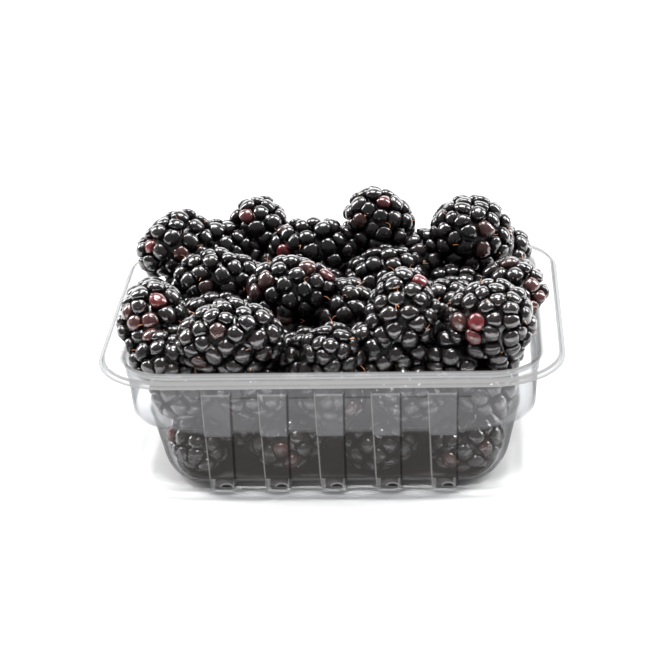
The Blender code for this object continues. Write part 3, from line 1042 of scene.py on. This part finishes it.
def build_layer(name, layer, all_berries, red_of, finish, draw):
    """One piece of the heap: the berries of a layer, drupelet by drupelet."""
    whole = bmesh.new()
    tint_layers(whole)
    for berry in layer:
        single = bmesh.new()
        tint_layers(single)
        pattern = bead_pattern(single)
        for bead in shown_beads(berry, near(berry, all_berries)):
            add_bead(single, pattern, bead, pressing_planes(bead, berry.beads), red_of(bead), draw)
        corners = [part for part in pattern if isinstance(part, bmesh.types.BMVert)]
        bmesh.ops.delete(single, geom=corners)
        berry_heart(single, berry)
        mesh = bpy.data.meshes.new("single_berry")
        single.to_mesh(mesh)
        single.free()
        whole.from_mesh(mesh)
        bpy.data.meshes.remove(mesh)
    return add_piece(name, whole, finish)


def redness_by_place(berries, draw):
    """A function that gives a drupelet's redness, from the set places and a few strays."""
    beads = [bead for berry in berries for bead in berry.beads]
    red = {}
    for bead in beads:
        if draw.random() < STRAY_RED_SHARE:
            red[id(bead)] = draw.uniform(*STRAY_REDS)
    for x, y, z, amount in RIPE_SPOTS:
        spot = Vector((x, y, z))
        nearest = min(beads, key=lambda bead: (bead[0] + bead[1] * bead[2] - spot).length)
        red[id(nearest)] = amount
    return lambda bead: red.get(id(bead), 0.0)


def build_core(finish):
    """The dark core under the berries, from the punnet's feet to below the top layer, as painted
    shade of the heap's depth and of the shadow under it.
    """
    columns = []
    for side in range(4):
        for step in range(CORE_CORNER_STEPS + 1):
            angle = math.pi / 2 * step / CORE_CORNER_STEPS
            columns.append([core_point(side, angle, *row) for row in CORE_ROWS])
    shape = sleeve(columns)
    bmesh.ops.holes_fill(shape, edges=shape.edges, sides=0)
    fill_feet_with_shade(shape)
    bmesh.ops.recalc_face_normals(shape, faces=shape.faces)
    return add_piece("heap_shade_core", shape, finish)


def core_point(side, angle, height, inset):
    """A point on a corner of the core, some way in from the wall."""
    half_length, half_width, radius_x, radius_y = wall_at(height)
    return corner_point(
        side, angle, half_length - inset, half_width - inset,
        max(radius_x - inset, CORE_LEAST_RADIUS), max(radius_y - inset, CORE_LEAST_RADIUS), height)


def fill_feet_with_shade(shape):
    """Dark strips of painted shadow that fill the punnet's feet from front to back."""
    length = 2 * (WALL_LEVELS[FOOT][3] + WALL_LEVELS[FOOT][6] - FOOT_FILL_INSET)
    depth = FOOT_FILL_TOP - FOOT_FILL_BOTTOM
    for middle in rib_places():
        place = Matrix.Translation((middle, 0.0, FOOT_FILL_BOTTOM + depth / 2))
        sizes = Matrix.Diagonal((FOOT_FILL_WIDTH, length, depth, 1.0))
        bmesh.ops.create_cube(shape, size=1.0, matrix=place @ sizes)


def add_hair(curves, bead, draw):
    """A dry style: a thin strand that curls up from between two drupelets."""
    middle, out, radius = bead
    side = out.orthogonal().normalized()
    side.rotate(Matrix.Rotation(draw.uniform(0, 2 * math.pi), 3, out))
    across = out.cross(side)
    root = middle + out * radius * HAIR_ROOT_OUT + side * radius * HAIR_ROOT_SIDE
    length = draw.uniform(*HAIR_LENGTHS)
    curl = draw.uniform(-HAIR_CURL, HAIR_CURL)
    strand = curves.splines.new("POLY")
    strand.points.add(HAIR_POINTS - 1)
    for index, point in enumerate(strand.points):
        share = index / (HAIR_POINTS - 1)
        bend = math.sin(share * math.pi) * curl
        rise = out * length * HAIR_RISE * share * (1 - HAIR_DROOP * share)
        lean = side * length * HAIR_LEAN * share
        place = root + rise + lean + across * bend
        point.co = (*(place * MM), 1.0)
        point.radius = 1.0 - HAIR_THINNING * share


def build_hairs(berries, finish, draw):
    """The dry styles that stand out between the drupelets of the berries that show."""
    curves = bpy.data.curves.new("dry_styles", "CURVE")
    curves.dimensions = "3D"
    curves.bevel_depth = HAIR_RADIUS * MM
    curves.bevel_resolution = 0
    curves.use_fill_caps = True
    for berry in berries:
        for bead in shown_beads(berry, near(berry, berries)):
            if draw.random() < HAIR_SHARE:
                add_hair(curves, bead, draw)
    strands = add_object("dry_styles", curves)
    mesh = bpy.data.meshes.new_from_object(strands)
    bpy.data.objects.remove(strands)
    mesh.materials.clear()
    mesh.materials.append(finish)
    return add_object("dry_styles", mesh)


def build_heap():
    """Every piece that stands for the heap's solid."""
    draw = random.Random(HEAP_SEED)
    wall_places = wall_berries(draw)
    middle_places = grid_berries(
        draw, MIDDLE_ROWS, MIDDLE_COLUMNS, MIDDLE_HEIGHT, MIDDLE_LENGTH, MIDDLE_WIDTH)
    floor_places = grid_berries(
        draw, FLOOR_ROWS, FLOOR_COLUMNS, FLOOR_HEIGHT, FLOOR_LENGTH, FLOOR_WIDTH)
    # One in each corner, and those between them on both sides.
    lower_count = 4 + 2 * sum(WALL_LAYERS[0][1])
    places = {
        "top_berries_front": [place for place in TOP_BERRIES if place[1] < 0],
        "top_berries_back": [place for place in TOP_BERRIES if place[1] >= 0],
        "middle_berries": middle_places + list(GAP_BERRIES),
        "wall_berries_upper": wall_places[lower_count:],
        "wall_berries_lower": wall_places[:lower_count],
        "floor_berries": floor_places,
    }
    layers = {name: [Berry(place, draw) for place in group] for name, group in places.items()}
    berries = [berry for group in layers.values() for berry in group]
    red_of = redness_by_place(berries, draw)
    skin = berry_skin()
    pieces = [
        build_layer(name, group, berries, red_of, skin, draw)
        for name, group in layers.items()]
    # The core's near-black finish is painted shade.
    pieces.append(build_core(dull_skin("heap_painted_shade", CORE_SHADE_COLOURS, CORE_DRIFT, CORE_ROUGHNESS)))
    topmost = layers["top_berries_front"] + layers["top_berries_back"]
    dry_style = dull_skin("dry_style", HAIR_COLOURS, HAIR_DRIFT, HAIR_ROUGHNESS)
    pieces.append(build_hairs(topmost, dry_style, draw))
    return pieces


# ---------------- floor, light, camera

FLOOR_GREY = 0.45
FLOOR_SIZE = 3.0
FLOOR_GAP = 0.05

# Soft boxes, in metres: place, the point faced, width and height, power in watts, and spread in
# degrees. The fills face straight down beside the punnet and lighten its shadow.
HEAP = (0.0, 0.0, 0.04)
LIGHTS = {
    "overhead": ((0.0, 0.30, 0.95), HEAP, (0.55, 0.35), 16.0, 180.0),
    "left_strip": ((-0.70, 0.30, 0.50), HEAP, (0.14, 0.7), 14.0, 180.0),
    "right_strip": ((0.70, 0.30, 0.50), HEAP, (0.14, 0.7), 14.0, 180.0),
    "back_wall": ((0.0, 1.30, 0.45), HEAP, (2.4, 0.8), 22.0, 180.0),
    "front_fill": ((0.0, -0.40, 0.80), (0.0, -0.40, 0.0), (0.5, 0.5), 14.0, 26.0),
    "left_fill": ((-0.32, 0.0, 0.80), (-0.32, 0.0, 0.0), (0.3, 0.5), 4.5, 26.0),
    "right_fill": ((0.32, 0.0, 0.80), (0.32, 0.0, 0.0), (0.3, 0.5), 4.5, 26.0),
}
WORLD_COLOUR = (0.95, 0.97, 1.0, 1.0)
WORLD_STRENGTH = 0.38

# The camera: focal length for a frame 36 mm wide, place in millimetres, and its turn, pitch down
# and roll in degrees.
LENS = 121.1
CAMERA_PLACE = (41.7, -643.0, 324.9)
CAMERA_TURN = -4.0
CAMERA_PITCH = 24.2
CAMERA_ROLL = -2.3


def floor_paint():
    """A plain pale table."""
    tree = Tree("pale_floor")
    surface = tree.add("ShaderNodeBsdfPrincipled", {}, {
        "Base Color": (FLOOR_GREY, FLOOR_GREY, FLOOR_GREY, 1.0), "Roughness": 0.6,
        "Specular IOR Level": 0.2})
    return tree.finish(surface)


def build_floor():
    """The table, a hair below the punnet's feet."""
    shape = bmesh.new()
    place = Matrix.Translation((0.0, 0.0, -FLOOR_GAP * MM))
    bmesh.ops.create_grid(shape, x_segments=1, y_segments=1, size=FLOOR_SIZE, matrix=place)
    floor = add_piece("floor", shape, floor_paint(), scale=1.0)


def add_light(name, place, target, size, power, spread):
    """A soft box that faces a point."""
    light = bpy.data.lights.new(name, "AREA")
    light.spread = math.radians(spread)
    light.shape = "RECTANGLE"
    light.size, light.size_y = size
    light.energy = power
    made = add_object(name, light)
    made.location = place
    made.rotation_euler = (Vector(target) - Vector(place)).to_track_quat("-Z", "Y").to_euler()


def build_lights():
    """The soft boxes and the pale room round them."""
    for name, settings in LIGHTS.items():
        add_light(name, *settings)
    world = bpy.data.worlds.new("studio")
    world.use_nodes = True
    room = world.node_tree.nodes["Background"]
    room.inputs["Color"].default_value = WORLD_COLOUR
    room.inputs["Strength"].default_value = WORLD_STRENGTH
    bpy.context.scene.world = world


def build_camera():
    """The camera, in front of the punnet and above it."""
    data = bpy.data.cameras.new("camera")
    data.lens = LENS
    data.clip_start = 0.01
    camera = add_object("camera", data)
    level = Euler((math.radians(90 - CAMERA_PITCH), 0.0, math.radians(-CAMERA_TURN))).to_matrix()
    rolled = level @ Matrix.Rotation(math.radians(CAMERA_ROLL), 3, "Z")
    camera.matrix_world = Matrix.Translation(Vector(CAMERA_PLACE) * MM) @ rolled.to_4x4()
    bpy.context.scene.camera = camera


def main():
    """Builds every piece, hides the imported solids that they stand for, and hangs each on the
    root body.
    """
    punnet = build_punnet(clear_plastic())
    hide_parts("punnet")
    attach(punnet, "root")
    for piece in build_heap():
        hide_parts("berry_heap")
        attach(piece, "root")
    build_floor()
    build_lights()
    build_camera()
    bpy.context.scene.view_settings.view_transform = "Standard"


main()
